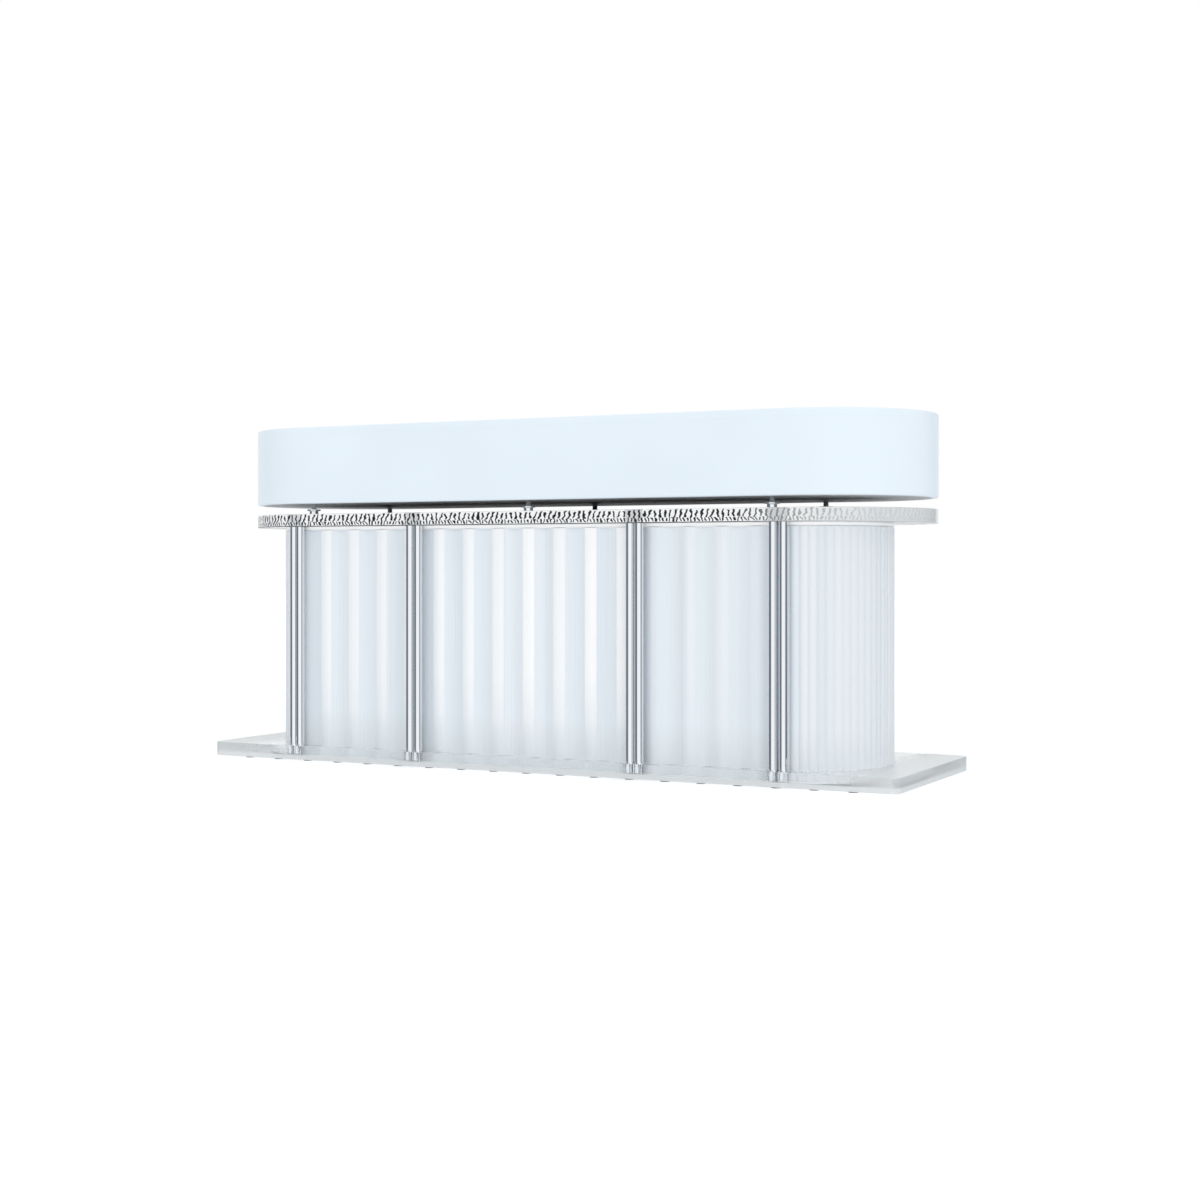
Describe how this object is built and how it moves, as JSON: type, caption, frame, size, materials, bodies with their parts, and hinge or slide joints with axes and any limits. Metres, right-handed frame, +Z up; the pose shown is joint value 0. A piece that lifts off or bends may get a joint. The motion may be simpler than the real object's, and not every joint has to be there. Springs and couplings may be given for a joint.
{
  "type": "bar counter",
  "caption": "Free-standing bar counter: thick round-ended top on standoffs over a clear plate, pleated body with chrome rods and open shelves behind, on a clear base plate.",
  "frame": {"origin": "on the floor under the middle of the base plate", "axes": "+X along the front, to the right as the guests see it; +Y from the guests to the staff side; +Z up"},
  "size_m": [2.4, 0.7, 1.098],
  "materials": {
    "clear_acrylic": "clear cast sheet with polished edges",
    "pale_acrylic": "opal sheet, satin gloss",
    "pale_gloss": "pale high-gloss lacquer",
    "dark_board": "dark faced board",
    "white_board": "white faced board",
    "chrome": "polished chrome plating",
    "steel": "zinc-plated steel",
    "pad_rubber": "black rubber"
  },
  "bodies": {
    "root": {"base_plate": "clear_acrylic", "upper_plate": "clear_acrylic", "front_panel_left": "pale_acrylic", "front_panel_middle": "pale_acrylic", "front_panel_right": "pale_acrylic", "end_panel_left": "pale_acrylic", "end_panel_right": "pale_acrylic", "top_rail": "pale_acrylic", "top_deck": "pale_gloss", "fascia_front": "pale_gloss", "fascia_back": "pale_gloss", "fascia_end_left": "pale_gloss", "fascia_end_right": "pale_gloss", "underside_board": "dark_board", "carcass_floor": "white_board", "carcass_ceiling": "white_board", "carcass_side_left": "white_board", "carcass_side_right": "white_board", "carcass_divider_left": "white_board", "carcass_divider_right": "white_board", "carcass_backing": "white_board", "shelf_left": "white_board", "shelf_middle": "white_board", "shelf_right": "white_board", "top_ribs": "white_board", "rod_pair_1": "chrome", "rod_pair_2": "chrome", "rod_pair_3": "chrome", "rod_pair_4": "chrome", "standoffs": "chrome", "rod_plugs": "steel", "rod_bolts": "steel", "standoff_studs": "steel", "lower_nuts": "steel", "upper_nuts": "steel", "shelf_pins": "steel", "base_pads": "pad_rubber"}
  },
  "joints": []
}
